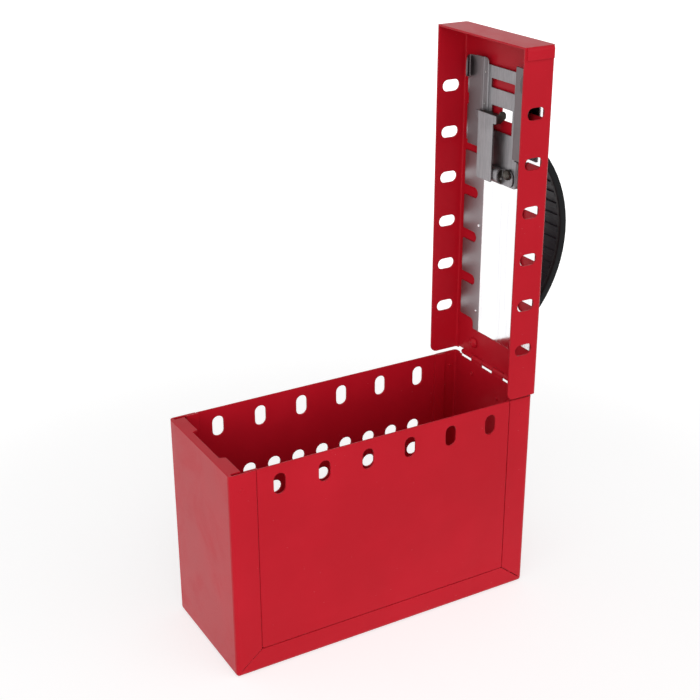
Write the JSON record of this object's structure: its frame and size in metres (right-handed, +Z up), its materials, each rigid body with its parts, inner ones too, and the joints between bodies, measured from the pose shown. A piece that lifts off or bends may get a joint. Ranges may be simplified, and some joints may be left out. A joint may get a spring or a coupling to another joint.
{
  "type": "group lockout box",
  "caption": "Sheet-metal group lockout box with a hinged lid standing open, a carrying handle, padlock slots along both sides and a sliding latch plate inside the lid.",
  "frame": {"origin": "centre of the flat base that stands on the table", "axes": "+Z up, +X along the box towards the hinge end, -Y towards the front panel"},
  "size_m": [0.2764, 0.0984, 0.3898],
  "materials": {
    "red_enamel": "smooth semi-gloss powder coat",
    "black_handle": "satin moulded plastic",
    "ribbed_liner": "fine-ribbed grip face",
    "bright_stainless": "bright, near mirror",
    "brushed_steel": "brushed stainless",
    "zinc_plate": "zinc plated"
  },
  "bodies": {
    "box": {"wrapper_shell": "red_enamel", "front_panel": "red_enamel", "back_panel": "red_enamel", "hinge_pin": "zinc_plate"},
    "lid": {"lid_tray": "red_enamel", "lid_stud_front": "red_enamel", "lid_stud_back": "red_enamel", "handle_bow": "black_handle", "handle_liner": "ribbed_liner", "handle_rivet_1": "zinc_plate", "handle_rivet_2": "zinc_plate", "handle_rivet_3": "zinc_plate", "handle_rivet_4": "zinc_plate"},
    "slide": {"slide_plate": "bright_stainless", "latch_carriage": "brushed_steel", "pivot_saddle": "brushed_steel", "saddle_rivet": "zinc_plate", "catch_pin": "zinc_plate", "catch_spring": "zinc_plate"},
    "catch": {"catch_tongue": "brushed_steel"}
  },
  "joints": [
    {"name": "lid_hinge", "type": "hinge", "parent": "box", "child": "lid", "pos_m": [0.1161, 0, 0.1511], "axis": [0, -1, 0], "range_deg": [0, 90]},
    {"name": "latch_slide", "type": "slide", "parent": "lid", "child": "slide", "axis": [0, 0, 1], "range_m": [0, 0.0086]},
    {"name": "catch_press", "type": "hinge", "parent": "slide", "child": "catch", "pos_m": [0.1105, 0, 0.2945], "axis": [0, -1, 0], "range_deg": [0, 4.5], "stiffness_Nm_per_rad": 0.02, "springref_deg": -5.73}
  ]
}
